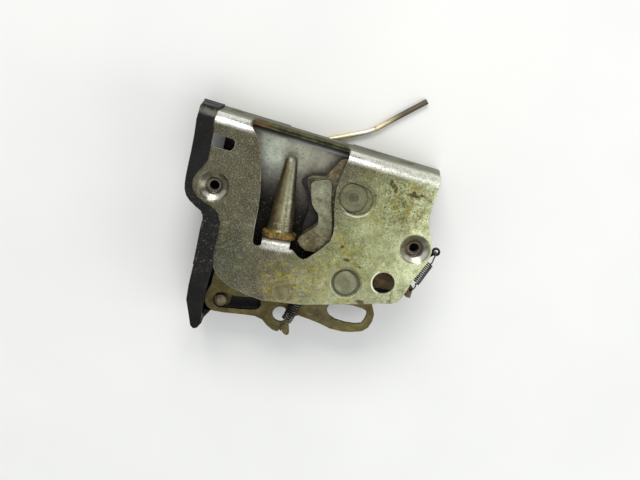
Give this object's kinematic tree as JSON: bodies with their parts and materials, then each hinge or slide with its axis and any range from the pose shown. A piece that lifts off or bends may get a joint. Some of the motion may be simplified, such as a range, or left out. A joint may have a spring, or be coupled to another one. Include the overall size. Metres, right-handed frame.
{
  "type": "vehicle door latch",
  "caption": "Side-door latch with a bent steel housing, tapered guide pin, rotating fork, pawl, release and lock levers, lock rod and moulded side shield.",
  "frame": {"origin": "midpoint between the two threaded mounting screw holes, level with the mouths of their threads, 4.2 mm behind the outer face of the housing", "axes": "+Z leaves the outer face, +Y points to the flange and the striker mouth, +X runs along the flange towards the pawl spring"},
  "size_m": [0.1349, 0.1443, 0.0422],
  "materials": {
    "zinc_plate": "worn zinc",
    "inner_zinc": "dull zinc",
    "nut_steel": "plain",
    "cone_steel": "worn",
    "rivet_zinc": "worn zinc",
    "bush_steel": "plain",
    "fork_steel": "worn",
    "bumper_rubber": "matte",
    "spring_steel": "dark",
    "pawl_steel": "rusty",
    "yellow_zinc": "yellow passivated",
    "rod_zinc": "yellow passivated",
    "clip_plastic": "satin",
    "black_plastic": "satin, scuffed"
  },
  "bodies": {
    "housing": {"face_plate": "zinc_plate", "back_plate": "inner_zinc", "left_weld_nut": "nut_steel", "right_weld_nut": "nut_steel", "guide_cone": "cone_steel", "fork_pivot_rivet": "rivet_zinc", "pawl_pivot_rivet": "rivet_zinc", "release_lever_stud": "rivet_zinc", "lock_lever_stud": "rivet_zinc", "release_lever_washer": "nut_steel", "release_lever_spacer": "nut_steel", "lock_lever_washer": "nut_steel", "fork_bush": "bush_steel", "pawl_bush": "bush_steel", "flange_rivets": "rivet_zinc", "fork_bumper": "bumper_rubber", "side_shield": "black_plastic", "pawl_spring": "spring_steel", "release_spring": "spring_steel", "fork_spring": "spring_steel"},
    "fork": {"fork": "fork_steel"},
    "pawl": {"pawl": "pawl_steel", "pawl_lift_pin": "nut_steel"},
    "release_lever": {"release_lever": "yellow_zinc"},
    "lock_lever": {"lock_lever": "yellow_zinc", "link_pin": "rivet_zinc"},
    "lock_rod": {"lock_rod": "rod_zinc", "rod_clip": "clip_plastic"}
  },
  "joints": [
    {"name": "fork_turn", "type": "hinge", "parent": "housing", "child": "fork", "pos_m": [0.0149, 0.0147, -0.0062], "axis": [0, 0, 1], "range_deg": [0, 38], "deforming": ["fork_spring"]},
    {"name": "release_lever_turn", "type": "hinge", "parent": "housing", "child": "release_lever", "pos_m": [-0.0055, -0.0401, -0.0164], "axis": [0, 0, 1], "range_deg": [-3.8, 1.2], "deforming": ["release_spring"]},
    {"name": "pawl_turn", "type": "hinge", "parent": "housing", "child": "pawl", "pos_m": [0.0235, -0.0268, -0.0063], "axis": [0, 0, 1], "range_deg": [-13.95, 4.41], "deforming": ["pawl_spring"]},
    {"name": "lock_lever_turn", "type": "hinge", "parent": "housing", "child": "lock_lever", "pos_m": [-0.0368, 0.0073, -0.0204], "axis": [0, 0, 1], "range_deg": [0, 15.5]},
    {"name": "lock_rod_turn", "type": "hinge", "parent": "lock_lever", "child": "lock_rod", "pos_m": [-0.0329, 0.029, -0.0204], "axis": [0, 0, 1], "range_deg": [-15.6, 0.1]}
  ],
  "couplings": [
    {"joint": "pawl_turn", "follows": "release_lever_turn", "ratio": 3.66},
    {"joint": "lock_rod_turn", "follows": "lock_lever_turn", "ratio": -1}
  ]
}
